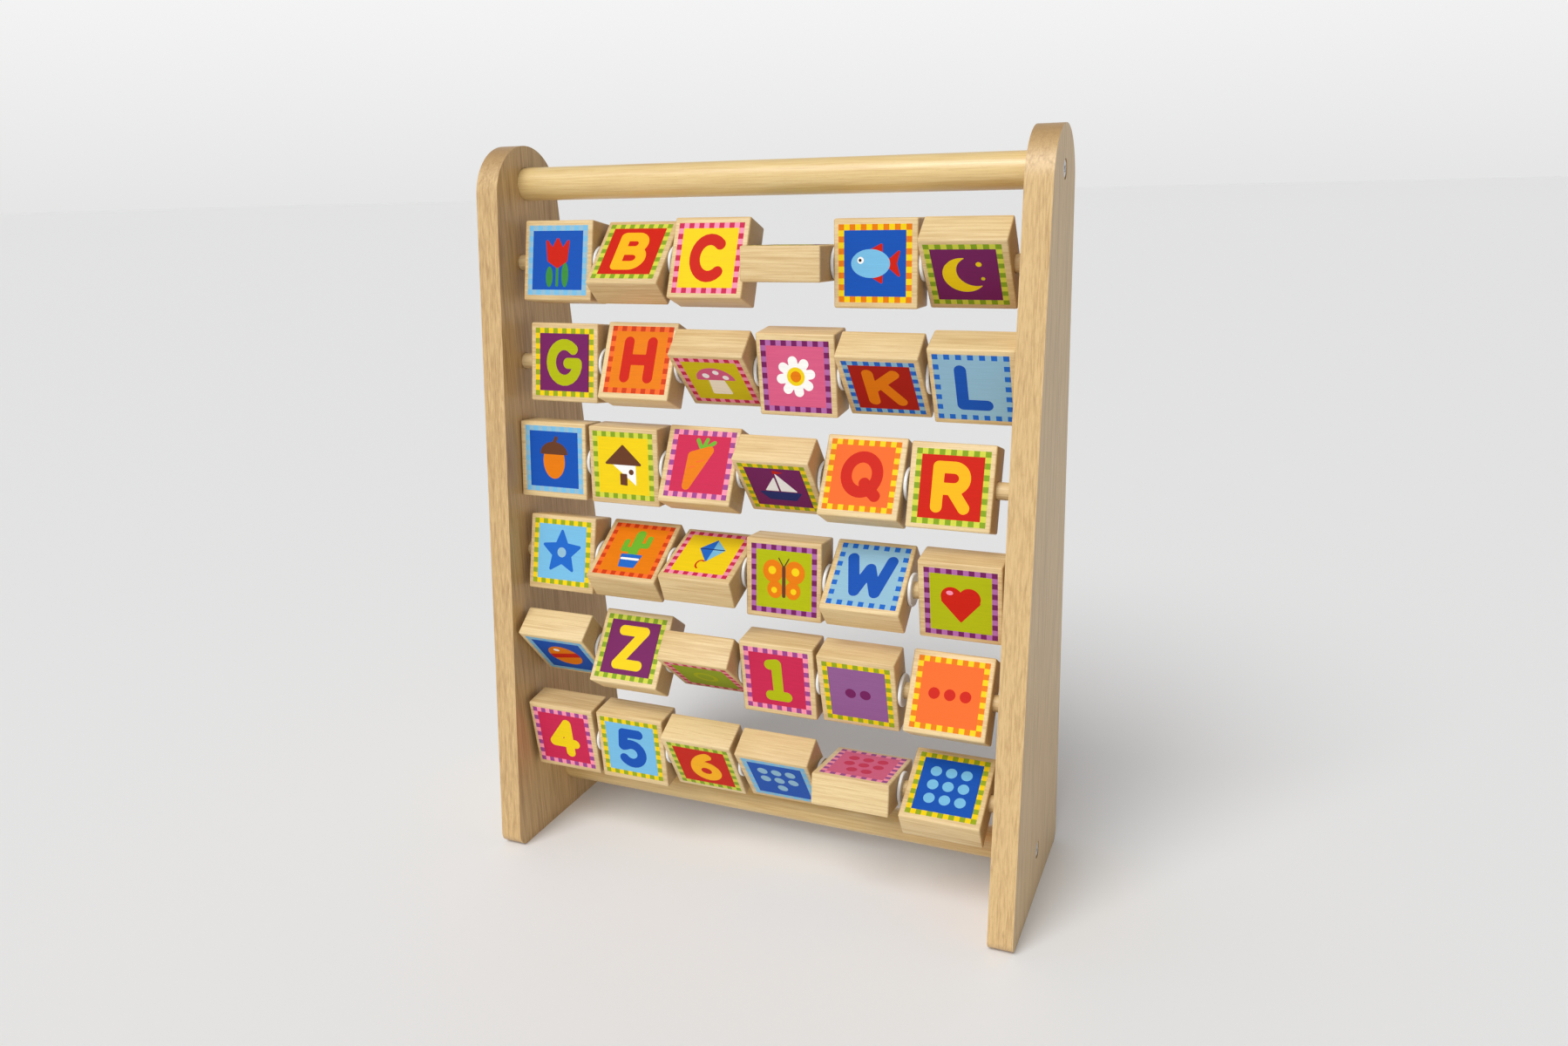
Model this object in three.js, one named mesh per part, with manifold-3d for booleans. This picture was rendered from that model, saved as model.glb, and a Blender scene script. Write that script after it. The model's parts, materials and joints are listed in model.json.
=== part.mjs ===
// Alphabet abacus: rows of turning wooden blocks on round rods between two A-shaped side boards.
// Millimetres, +Z up, +X to the right as a player sees it, the player at -Y.
// The origin is on the floor, midway between the boards and midway from front to back.
import * as THREE from "three";
import { mergeVertices } from "three/addons/utils/BufferGeometryUtils.js";
import Module from "manifold-3d";

const wasm = await Module();
wasm.setup();

// Blocks: square plates, bored through from side to side
const BLOCK_FACE = 39;
const BLOCK_THICKNESS = 16;
const BLOCK_CHAMFER = 0.8;
const BLOCK_RUNNING_GAP = 0.35;

// Rods that carry the blocks, and the plastic washers on them
const ROD_DIAMETER = 8;
const ROD_END_CHAMFER = 0.6;
const WASHER_DIAMETER = 16;
const WASHER_THICKNESS = 1.6;
const WASHER_GAP = 0.2;

// Rows and columns
const COLUMNS = 6;
const COLUMN_PLAY = 1.0;
const END_PLAY = 4.5;
const ROW_GAP = 10.2;
const FLOOR_CLEARANCE = 43;
const HANDLE_CLEARANCE = 10.5;

// Side boards: slanted front and back edges under a round top
const BOARD_BASE_DEPTH = 112;
const BOARD_THICKNESS = 12;
const BOARD_LEAN_DEGREES = 5;
const BOARD_FOOT_RADIUS = 6;
const BOARD_EDGE_RADIUS = 1.6;
const BOARD_CROWN = 18.5;
const FRONT_MARGIN = 0.5;

// Round bars that tie the boards together
const BAR_DIAMETER = 16;
const BAR_END_CHAMFER = 0.8;
const STRETCHER_HEIGHT = 24;

// Blind sockets in the boards, with the gap that a glued joint leaves
const SOCKET_DEPTH = 8;
const SEAT_GAP = 0.3;

// Countersunk wood screws through the boards into the bars
const SCREW_DIAMETER = 4;
const SCREW_HEAD_DIAMETER = 8;
const SCREW_LENGTH = 30;
const SCREW_TIP_LENGTH = 4;
const SCREW_HEAD_SINK = 0.4;

// Sides of the round shapes
const ROD_SIDES = 16;
const BAR_SIDES = 24;
const SCREW_SIDES = 12;
const TOP_ARC_STEPS = 16;
const FOOT_ARC_STEPS = 3;
const MERGE_DISTANCE = 1e-4;

// How the blocks stand, row by row from the top. A turn in degrees is 0 with the sign upright and
// facing the player, and positive with the sign's top towards the player. A slide is how far a block
// has been pushed along its rod from its middle place, as a share of the play at the row's ends.
const ROWS = [
  { signs: "ABCDEF", turns: [-11, -45, -22, 88, -1, 38], slides: [0.44, 0.31, 0.18, 0.04, -0.09, -0.22] },
  { signs: "GHIJKL", turns: [-8, -25, 44, 6, 39, 25], slides: [0.89, 0.93, 0.98, 0.98, 0.93, 0.89] },
  { signs: "MNOPQR", turns: [-5, -2, -28, 38, -29, -17], slides: [-0.89, -0.98, -0.98, -0.98, -0.98, -0.98] },
  { signs: "STUVWX", turns: [-12, -57, -69, -4, -50, 8], slides: [-0.11, -0.22, -0.33, -0.22, -0.22, 0.44] },
  { signs: "YZ0123", turns: [40, -36, 49, 7, 14, -31], slides: [-0.44, -0.56, -0.67, -0.78, -0.89, -0.33] },
  { signs: "456789", turns: [8, 6, 28, 33, -97, -60], slides: [-0.44, -0.56, -0.67, -0.67, -0.67, -0.22] },
];

// Derived sizes
const ROW_PITCH = BLOCK_FACE + ROW_GAP;
const TOP_ROD_HEIGHT = FLOOR_CLEARANCE + BLOCK_FACE / 2 + (ROWS.length - 1) * ROW_PITCH;
const HANDLE_HEIGHT = TOP_ROD_HEIGHT + BLOCK_FACE / 2 + HANDLE_CLEARANCE + BAR_DIAMETER / 2;
const BOARD_HEIGHT = HANDLE_HEIGHT + BOARD_CROWN;
const ROD_INSET = BLOCK_FACE / 2 + FRONT_MARGIN;
const COLUMN_PITCH = BLOCK_FACE + WASHER_THICKNESS + COLUMN_PLAY;
const INNER_WIDTH = (COLUMNS - 1) * COLUMN_PITCH + BLOCK_FACE + 2 * END_PLAY;
const LEAN = THREE.MathUtils.degToRad(BOARD_LEAN_DEGREES);
const SEATED_LENGTH = INNER_WIDTH + 2 * (SOCKET_DEPTH - SEAT_GAP);
const OUTER_FACE = INNER_WIDTH / 2 + BOARD_THICKNESS;
const SCREW_HEAD_HEIGHT = (SCREW_HEAD_DIAMETER - SCREW_DIAMETER) / 2;
const BARS = [
  { name: "top_handle", screw: "handle_screw", height: HANDLE_HEIGHT },
  { name: "bottom_stretcher", screw: "stretcher_screw", height: STRETCHER_HEIGHT },
];

function rowHeight(row) {
  return TOP_ROD_HEIGHT - row * ROW_PITCH;
}

// The rods run parallel to the boards' leaning front edge, at the same distance behind it.
function rowDepth(row) {
  return rowHeight(row) * Math.tan(LEAN) - BOARD_BASE_DEPTH / 2 + ROD_INSET / Math.cos(LEAN);
}

function blockPlace(row, column) {
  return (column - (COLUMNS - 1) / 2) * COLUMN_PITCH + ROWS[row].slides[column] * END_PLAY;
}

// Materials
const beech = (color) => new THREE.MeshStandardMaterial({ color, roughness: 0.55, metalness: 0 });
const PALE_WOOD = 0xe2c795;
const BOARD_WOOD = 0xd0a868;
const BAR_WOOD = 0xd9b877;
const STEEL = 0xb9bbbd;
const steel = () => new THREE.MeshStandardMaterial({ color: STEEL, roughness: 0.35, metalness: 1 });

const abacus = new THREE.Group();

function addPiece(name, geometry, material, position) {
  const piece = new THREE.Mesh(geometry, material);
  piece.name = name;
  piece.position.copy(position);
  abacus.add(piece);
  return piece;
}

// Turns a section drawn in the plane of Y and Z, and extruded along its normal, to run along X.
function alongX(geometry, length) {
  const basis = new THREE.Matrix4().makeBasis(
    new THREE.Vector3(0, 1, 0),
    new THREE.Vector3(0, 0, 1),
    new THREE.Vector3(1, 0, 0),
  );
  geometry.translate(0, 0, -length / 2);
  return geometry.applyMatrix4(basis);
}

// A round solid about X: each profile point is [place along X, radius].
function turned(profile, sides) {
  const points = profile.map(([along, radius]) => new THREE.Vector2(radius, along));
  return new THREE.LatheGeometry(points, sides).rotateZ(-Math.PI / 2);
}

function solid(geometry) {
  const bare = geometry.clone();
  bare.deleteAttribute("normal");
  bare.deleteAttribute("uv");
  const merged = mergeVertices(bare, MERGE_DISTANCE);
  return new wasm.Manifold(new wasm.Mesh({
    numProp: 3,
    vertProperties: new Float32Array(merged.attributes.position.array),
    triVerts: new Uint32Array(merged.index.array),
  }));
}

function geometryOf(manifold) {
  const mesh = manifold.getMesh();
  const geometry = new THREE.BufferGeometry();
  geometry.setAttribute("position", new THREE.BufferAttribute(mesh.vertProperties, 3));
  geometry.setIndex(new THREE.BufferAttribute(mesh.triVerts, 1));
  geometry.computeVertexNormals();
  return geometry;
}

// Blocks: a chamfered section with the bore, extruded from side to side with chamfered ends
function blockGeometry() {
  const halfDepth = BLOCK_THICKNESS / 2;
  const halfHeight = BLOCK_FACE / 2;
  const section = new THREE.Shape();
  section.moveTo(-halfDepth + BLOCK_CHAMFER, -halfHeight);
  section.lineTo(halfDepth - BLOCK_CHAMFER, -halfHeight);
  section.lineTo(halfDepth, -halfHeight + BLOCK_CHAMFER);
  section.lineTo(halfDepth, halfHeight - BLOCK_CHAMFER);
  section.lineTo(halfDepth - BLOCK_CHAMFER, halfHeight);
  section.lineTo(-halfDepth + BLOCK_CHAMFER, halfHeight);
  section.lineTo(-halfDepth, halfHeight - BLOCK_CHAMFER);
  section.lineTo(-halfDepth, -halfHeight + BLOCK_CHAMFER);
  section.closePath();
  const bore = new THREE.Path();
  bore.absarc(0, 0, ROD_DIAMETER / 2 + BLOCK_RUNNING_GAP, 0, 2 * Math.PI, true);
  section.holes.push(bore);
  const straight = BLOCK_FACE - 2 * BLOCK_CHAMFER;
  const geometry = new THREE.ExtrudeGeometry(section, {
    depth: straight,
    curveSegments: ROD_SIDES / 2,
    bevelEnabled: true,
    bevelSegments: 1,
    bevelSize: BLOCK_CHAMFER,
    bevelThickness: BLOCK_CHAMFER,
    bevelOffset: -BLOCK_CHAMFER,
  });
  return alongX(geometry, straight);
}

function addBlocks() {
  ROWS.forEach(({ signs, turns }, row) => {
    [...signs].forEach((sign, column) => {
      const place = new THREE.Vector3(blockPlace(row, column), rowDepth(row), rowHeight(row));
      const block = addPiece(`block_${sign}`, blockGeometry(), beech(PALE_WOOD), place);
      block.rotation.x = THREE.MathUtils.degToRad(turns[column]);
    });
  });
}

// Rods: each with its washers, which lie against the block on their left
function rodGeometry(row) {
  const end = SEATED_LENGTH / 2;
  const radius = ROD_DIAMETER / 2;
  const profile = [[-end, 0], [-end, radius - ROD_END_CHAMFER], [-end + ROD_END_CHAMFER, radius]];
  for (let column = 0; column < COLUMNS - 1; column += 1) {
    const left = blockPlace(row, column) + BLOCK_FACE / 2 + WASHER_GAP;
    const right = left + WASHER_THICKNESS;
    profile.push([left, radius], [left, WASHER_DIAMETER / 2], [right, WASHER_DIAMETER / 2], [right, radius]);
  }
  profile.push([end - ROD_END_CHAMFER, radius], [end, radius - ROD_END_CHAMFER], [end, 0]);
  return turned(profile, ROD_SIDES);
}

function addRods() {
  ROWS.forEach((_, row) => {
    const place = new THREE.Vector3(0, rowDepth(row), rowHeight(row));
    addPiece(`rod_row_${row + 1}`, rodGeometry(row), beech(BAR_WOOD), place);
  });
}

// Bars: round, with a pilot hole for the screw in each end
function barGeometry() {
  const end = SEATED_LENGTH / 2;
  const radius = BAR_DIAMETER / 2;
  const pilotRadius = SCREW_DIAMETER / 2 + SEAT_GAP;
  const pilotEnd = OUTER_FACE - SCREW_HEAD_SINK - SCREW_LENGTH - SEAT_GAP;
  return turned([
    [-pilotEnd, 0],
    [-pilotEnd, pilotRadius],
    [-end, pilotRadius],
    [-end, radius - BAR_END_CHAMFER],
    [-end + BAR_END_CHAMFER, radius],
    [end - BAR_END_CHAMFER, radius],
    [end, radius - BAR_END_CHAMFER],
    [end, pilotRadius],
    [pilotEnd, pilotRadius],
    [pilotEnd, 0],
  ], BAR_SIDES);
}

function addBars() {
  BARS.forEach(({ name, height }) => {
    addPiece(name, barGeometry(), beech(BAR_WOOD), new THREE.Vector3(0, 0, height));
  });
}

// Screws: drawn with the head at +X, its flat top on the zero plane
function screwProfile(grow) {
  const head = SCREW_HEAD_DIAMETER / 2 + grow;
  const shank = SCREW_DIAMETER / 2 + grow;
  const headEnd = -SCREW_HEAD_HEIGHT - grow;
  return { head, shank, headEnd };
}

function screwGeometry() {
  const { head, shank, headEnd } = screwProfile(0);
  return turned([
    [-SCREW_LENGTH, 0],
    [-SCREW_LENGTH + SCREW_TIP_LENGTH, shank],
    [headEnd, shank],
    [0, head],
    [0, 0],
  ], SCREW_SIDES);
}

// The hole that a screw needs: through the board, with the countersink open to the outer face
function screwHole() {
  const { head, shank, headEnd } = screwProfile(SEAT_GAP);
  return turned([
    [-BOARD_THICKNESS, 0],
    [-BOARD_THICKNESS, shank],
    [headEnd, shank],
    [0, head],
    [BOARD_THICKNESS, head],
    [BOARD_THICKNESS, 0],
  ], SCREW_SIDES);
}

function addScrews() {
  BARS.forEach(({ screw, height }) => {
    const place = OUTER_FACE - SCREW_HEAD_SINK;
    addPiece(`${screw}_right`, screwGeometry(), steel(), new THREE.Vector3(place, 0, height));
    const left = addPiece(`${screw}_left`, screwGeometry(), steel(), new THREE.Vector3(-place, 0, height));
    left.rotation.z = Math.PI;
  });
}

// Side boards: an isosceles outline with rounded feet and a round top tangent to both slants
function boardOutline() {
  const half = BOARD_BASE_DEPTH / 2;
  const topRadius = (half * Math.cos(LEAN) - BOARD_HEIGHT * Math.sin(LEAN)) / (1 - Math.sin(LEAN));
  const topCentre = BOARD_HEIGHT - topRadius;
  const footAngle = Math.PI / 2 - LEAN;
  const footInset = BOARD_FOOT_RADIUS / Math.tan(footAngle / 2);
  const outline = [];
  const arc = (y, z, radius, from, to, steps) => {
    for (let step = 0; step <= steps; step += 1) {
      const angle = from + ((to - from) * step) / steps;
      outline.push(new THREE.Vector2(y + radius * Math.cos(angle), z + radius * Math.sin(angle)));
    }
  };
  const footCentre = half - footInset;
  arc(footCentre, BOARD_FOOT_RADIUS, BOARD_FOOT_RADIUS, -Math.PI / 2, LEAN, FOOT_ARC_STEPS);
  arc(0, topCentre, topRadius, LEAN, Math.PI - LEAN, TOP_ARC_STEPS);
  arc(-footCentre, BOARD_FOOT_RADIUS, BOARD_FOOT_RADIUS, Math.PI - LEAN, 1.5 * Math.PI, FOOT_ARC_STEPS);
  return new THREE.Shape(outline);
}

// A blind socket in a board whose inner face is at -X of the board's own middle
function socket(diameter, sides) {
  const radius = diameter / 2 + SEAT_GAP;
  const inner = -BOARD_THICKNESS / 2;
  return turned([
    [inner - SOCKET_DEPTH, 0],
    [inner - SOCKET_DEPTH, radius],
    [inner + SOCKET_DEPTH, radius],
    [inner + SOCKET_DEPTH, 0],
  ], sides);
}

function boardGeometry() {
  const straight = BOARD_THICKNESS - 2 * BOARD_EDGE_RADIUS;
  const plate = new THREE.ExtrudeGeometry(boardOutline(), {
    depth: straight,
    bevelEnabled: true,
    bevelSegments: 2,
    bevelSize: BOARD_EDGE_RADIUS,
    bevelThickness: BOARD_EDGE_RADIUS,
    bevelOffset: -BOARD_EDGE_RADIUS,
  });
  let board = solid(alongX(plate, straight));
  const cut = (geometry, x, y, z) => {
    board = board.subtract(solid(geometry.translate(x, y, z)));
  };
  ROWS.forEach((_, row) => cut(socket(ROD_DIAMETER, ROD_SIDES), 0, rowDepth(row), rowHeight(row)));
  BARS.forEach(({ height }) => {
    cut(socket(BAR_DIAMETER, BAR_SIDES), 0, 0, height);
    cut(screwHole(), BOARD_THICKNESS / 2 - SCREW_HEAD_SINK, 0, height);
  });
  return board;
}

function addBoards() {
  const right = boardGeometry();
  const left = right.mirror([1, 0, 0]);
  const middle = (INNER_WIDTH + BOARD_THICKNESS) / 2;
  const place = (x) => new THREE.Vector3(x, 0, 0);
  addPiece("side_board_right", geometryOf(right), beech(BOARD_WOOD), place(middle));
  addPiece("side_board_left", geometryOf(left), beech(BOARD_WOOD), place(-middle));
}

addBoards();
addBars();
addScrews();
addRods();
addBlocks();

export default abacus;
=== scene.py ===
import json
import math
import random

import bmesh
import bpy
import numpy as np
from mathutils import Matrix, Vector


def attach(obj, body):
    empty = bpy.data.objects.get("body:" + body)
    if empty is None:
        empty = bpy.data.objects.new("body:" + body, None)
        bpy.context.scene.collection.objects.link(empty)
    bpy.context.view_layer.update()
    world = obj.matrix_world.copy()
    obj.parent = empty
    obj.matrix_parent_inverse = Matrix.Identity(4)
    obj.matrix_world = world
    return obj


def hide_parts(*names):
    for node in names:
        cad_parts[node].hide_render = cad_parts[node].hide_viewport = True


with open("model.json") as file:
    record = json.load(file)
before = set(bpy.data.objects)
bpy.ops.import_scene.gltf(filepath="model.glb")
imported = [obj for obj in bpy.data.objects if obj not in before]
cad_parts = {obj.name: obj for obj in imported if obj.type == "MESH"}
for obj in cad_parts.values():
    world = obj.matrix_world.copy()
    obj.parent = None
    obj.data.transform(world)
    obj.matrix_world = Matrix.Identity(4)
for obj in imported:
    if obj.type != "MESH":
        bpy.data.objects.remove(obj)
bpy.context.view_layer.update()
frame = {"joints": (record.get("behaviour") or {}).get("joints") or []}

# Sizes in millimetres, the same as the solids' apart from the rounded edges
MM = 0.001
BLOCK_FACE = 39.0
BLOCK_THICKNESS = 16.0
BLOCK_ROUND = 0.9
BORE_RADIUS = 4.35
ROD_RADIUS = 4.0
WASHER_RADIUS = 8.0
WASHER_THICKNESS = 1.6
WASHER_GAP = 0.2
WASHER_ROUND = 0.35
WASHER_FIT = 0.1
BOARD_HEIGHT = 365.0
BOARD_BASE_DEPTH = 112.0
BOARD_THICKNESS = 12.0
BOARD_LEAN = math.radians(5)
BOARD_FOOT_RADIUS = 6.0
BOARD_EDGE_RADIUS = 1.6
INNER_WIDTH = 256.0
SOCKET_DEPTH = 8.0
SEAT_GAP = 0.3
BAR_RADIUS = 8.0
BAR_END_CHAMFER = 0.8
BAR_HEIGHTS = {"handle": 346.5, "stretcher": 24.0}
SCREW_RADIUS = 2.0
SCREW_HEAD_RADIUS = 4.0
SCREW_HEAD_HEIGHT = 2.0
SCREW_LENGTH = 30.0
SCREW_HEAD_SINK = 0.4
SCREW_TIP = 4.0
SCREW_RIM = 0.15
SCREW_RIM_ROUND = 0.1
SCREW_CROWN = 0.25
SCREW_CROWN_SHOULDER = (0.18, 2.4)
# The cross recess at its mouth and at its bottom: place along the screw, length, width
RECESS_LEVELS = ((0.6, 4.7, 1.05), (-1.5, 1.8, 0.7))
CROSS_ARMS = 4

# Sides of round pieces
ROD_SIDES = 48
WASHER_SIDES = 64
BAR_SIDES = 96

# Faces smaller than this, in square millimetres, are shaded as curved
BLOCK_FLAT_AREA = 15.0
BOARD_FLAT_AREA = 100.0
SCREW_FLAT_AREA = 3.0
ALL_CURVED = 1e6
SHARP_ANGLE = math.radians(40)

# Each piece reads its grain from its own place in a long log, in millimetres
LOG_REACH = 400

# How each row's blocks are turned about their rods, in degrees
ROW_TURNS = {
    "ABCDEF": (-11, -45, -22, 88, -1, 38),
    "GHIJKL": (-8, -25, 44, 6, 39, 25),
    "MNOPQR": (-5, -2, -28, 38, -29, -17),
    "STUVWX": (-12, -57, -69, -4, -50, 8),
    "YZ0123": (40, -36, 49, 7, 14, -31),
    "456789": (8, 6, 28, 33, -97, -60),
}
TURNS = {sign: turn for signs, turns in ROW_TURNS.items() for sign, turn in zip(signs, turns)}
CENTRES = {joint["child"][-1]: Vector(joint["pos_m"]) / MM for joint in frame["joints"]}

# Print sizes in millimetres: a ring of checks around a plain panel
CHECKS = 13
CHECK_SIZE = 2.6
PRINT_HALF = CHECKS * CHECK_SIZE / 2
INK_HEIGHT = 0.03
LAYER_STEP = 0.02
INK_SUNK = 0.3
REGISTER_ERROR = 0.5
GLYPH_HEIGHT = 17.8
GLYPH_STROKE = 5.4
GRID_STEP = 0.3
STRAIGHT_ENOUGH = 0.002
DOT_RADIUS = 2.7
DOT_PITCH = 7.4
DOTS_ACROSS = 3
NOUGHT_RADII = (6.5, 4.4)

# Colours as the eye sees them, from 0 to 255. Brick, orange, lemon, lime, moss, cyan, purple, lavender and
# crimson are darkened to stand in for the shade on faces low in the toy and turned down: painted shade in
# the print's colours.
COLOURS = {
    "red": (204, 30, 10), "brick": (172, 26, 14), "rust": (206, 60, 14), "vermilion": (245, 108, 40),
    "orange": (230, 124, 6), "amber": (255, 182, 20), "yellow": (242, 208, 18), "lemon": (214, 196, 16),
    "lime": (178, 184, 6), "pale_lime": (208, 212, 72), "moss": (134, 164, 32), "olive": (150, 168, 30),
    "green": (110, 178, 44), "leaf": (60, 140, 60), "cyan": (146, 188, 210), "sky": (120, 188, 226),
    "blue": (30, 104, 200), "royal": (20, 82, 178), "navy": (34, 46, 110), "purple": (118, 32, 94),
    "violet": (158, 72, 142), "lavender": (148, 94, 148), "lilac": (178, 106, 168), "pink": (216, 94, 132),
    "blush": (248, 148, 174), "crimson": (202, 40, 80), "brown": (104, 60, 36), "cream": (250, 240, 214),
    "white": (250, 248, 244), "ink": (40, 34, 34),
}
# A border's dark checks and light checks
BORDERS = {
    "sky": ("sky", "cyan"), "lime": ("moss", "pale_lime"), "rose": ("crimson", "blush"),
    "honey": ("orange", "yellow"), "brick": ("rust", "vermilion"), "plum": ("purple", "lilac"),
    "berry": ("violet", "blush"), "sea": ("blue", "cyan"), "lemon": ("olive", "yellow"),
}


def linear(name):
    """A named colour as light, from 0 to 1, with full cover."""
    def channel(value):
        value /= 255
        return value / 12.92 if value <= 0.04045 else ((value + 0.055) / 1.055) ** 2.4

    return tuple(channel(value) for value in COLOURS[name]) + (1.0,)


# Materials
def new_material(name):
    material = bpy.data.materials.new(name)
    material.use_nodes = True
    tree = material.node_tree
    return material, tree, tree.nodes["Principled BSDF"]


def add_node(tree, kind, inputs=(), **settings):
    made = tree.nodes.new("ShaderNode" + kind)
    for key, value in settings.items():
        setattr(made, key, value)
    for key, value in dict(inputs).items():
        if isinstance(value, bpy.types.NodeSocket):
            tree.links.new(value, made.inputs[key])
        else:
            made.inputs[key].default_value = value
    return made


def math_node(tree, operation, first, second=0.0):
    return add_node(tree, "Math", {0: first, 1: second}, operation=operation).outputs[0]


def mix_colours(tree, share, first, second, blend="MIX"):
    made = add_node(tree, "Mix", {0: share, 6: first, 7: second}, data_type="RGBA", blend_type=blend)
    return made.outputs[2]


def spread(tree, value, low, high):
    inputs = {"Value": value, "To Min": low, "To Max": high}
    return add_node(tree, "MapRange", inputs).outputs[0]


def fibres(tree, stretch, scale, detail):
    """Noise drawn out along the grain, read from the piece's own grain coordinates."""
    grain = add_node(tree, "Attribute", attribute_name="grain").outputs["Vector"]
    drawn = add_node(tree, "Mapping", {"Vector": grain, "Scale": (stretch, 1, 1)}).outputs[0]
    inputs = {"Vector": drawn, "Scale": scale, "Detail": detail, "Roughness": 0.6}
    return add_node(tree, "TexNoise", inputs).outputs["Fac"]


def wood_material(name, pale, deep, end_tone, rings, roughness, coat):
    """Growth bands, fine fibres, a tint of each piece's own, dark pores and darker end grain."""
    material, tree, shader = new_material(name)
    marks = add_node(tree, "Attribute", attribute_name="marks").outputs["Color"]
    split = add_node(tree, "SeparateColor", {"Color": marks})
    end, tint = split.outputs[0], split.outputs[1]
    fine = fibres(tree, 0.03, 1.5, 7.0)
    broad = fibres(tree, 0.03, 0.13, 2.0)
    bands = math_node(tree, "SINE", math_node(tree, "MULTIPLY", broad, rings))
    bands = math_node(tree, "POWER", spread(tree, bands, 0.5, 1.0), 3.0)
    tone = math_node(tree, "MULTIPLY", bands, 0.34)
    tone = math_node(tree, "ADD", tone, spread(tree, fine, -1.0, 1.35))
    tone = math_node(tree, "ADD", tone, spread(tree, tint, -0.16, 0.26))
    body = mix_colours(tree, tone, pale, deep)
    pores = fibres(tree, 0.14, 2.6, 2.0)
    flecks = add_node(tree, "MapRange", {"Value": pores, "From Min": 0.6, "From Max": 0.72, "To Max": 0.4})
    body = mix_colours(tree, flecks.outputs[0], body, deep)
    rays = spread(tree, fibres(tree, 1.0, 1.8, 4.0), 0.45, 1.0)
    body = mix_colours(tree, math_node(tree, "MULTIPLY", end, rays), body, end_tone)
    tree.links.new(body, shader.inputs["Base Color"])
    tree.links.new(spread(tree, fine, roughness - 0.08, roughness + 0.1), shader.inputs["Roughness"])
    shader.inputs["Coat Weight"].default_value = coat
    shader.inputs["Coat Roughness"].default_value = 0.3
    bump = add_node(tree, "Bump", {"Height": fine, "Strength": 0.18, "Distance": 0.0002})
    tree.links.new(bump.outputs[0], shader.inputs["Normal"])
    return material


def ink_material(name):
    material, tree, shader = new_material(name)
    ink = add_node(tree, "Attribute", attribute_name="ink").outputs["Color"]
    fine = fibres(tree, 0.035, 2.2, 6.0)
    grey = spread(tree, fine, 0.84, 1.08)
    shade = add_node(tree, "CombineColor", {0: grey, 1: grey, 2: grey}).outputs[0]
    tree.links.new(mix_colours(tree, 1.0, ink, shade, "MULTIPLY"), shader.inputs["Base Color"])
    tree.links.new(spread(tree, fine, 0.45, 0.62), shader.inputs["Roughness"])
    shader.inputs["Specular IOR Level"].default_value = 0.14
    bump = add_node(tree, "Bump", {"Height": fine, "Strength": 0.2, "Distance": 0.0002})
    tree.links.new(bump.outputs[0], shader.inputs["Normal"])
    return material


def plastic_material(name, tone):
    material, tree, shader = new_material(name)
    cloudy = add_node(tree, "TexNoise", {"Scale": 300.0, "Detail": 3.0}).outputs["Fac"]
    darker = tuple(channel * 0.86 for channel in tone[:3]) + (1.0,)
    tree.links.new(mix_colours(tree, cloudy, darker, tone), shader.inputs["Base Color"])
    tree.links.new(spread(tree, cloudy, 0.3, 0.45), shader.inputs["Roughness"])
    shader.inputs["Subsurface Weight"].default_value = 0.3
    shader.inputs["Subsurface Radius"].default_value = (0.002, 0.002, 0.002)
    return material


def steel_material(name):
    material, tree, shader = new_material(name)
    scratch = add_node(tree, "TexNoise", {"Scale": 1400.0, "Detail": 4.0}).outputs["Fac"]
    tone = mix_colours(tree, scratch, (0.5, 0.5, 0.51, 1.0), (0.72, 0.72, 0.74, 1.0))
    tree.links.new(tone, shader.inputs["Base Color"])
    tree.links.new(spread(tree, scratch, 0.2, 0.42), shader.inputs["Roughness"])
    shader.inputs["Metallic"].default_value = 1.0
    return material


# Each wood's pale, deep and end-grain tones
block_wood = wood_material(
    "pale_block_wood", (0.79, 0.605, 0.315, 1.0), (0.58, 0.38, 0.16, 1.0), (0.42, 0.26, 0.11, 1.0),
    rings=26.0, roughness=0.5, coat=0.05)
board_wood = wood_material(
    "board_wood", (0.7, 0.48, 0.22, 1), (0.44, 0.26, 0.1, 1), (0.34, 0.19, 0.07, 1),
    rings=40.0, roughness=0.45, coat=0.2)
bar_wood = wood_material(
    "bar_wood", (0.78, 0.58, 0.26, 1), (0.6, 0.39, 0.14, 1), (0.42, 0.26, 0.1, 1),
    rings=20.0, roughness=0.36, coat=0.35)
rod_wood = wood_material(
    "rod_wood", (0.76, 0.58, 0.3, 1), (0.54, 0.36, 0.16, 1), (0.42, 0.26, 0.1, 1),
    rings=20.0, roughness=0.5, coat=0.0)
print_ink = ink_material("print_ink")
washer_plastic = plastic_material("washer_plastic", (0.86, 0.86, 0.84, 1.0))
screw_steel = steel_material("screw_steel")


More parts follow.
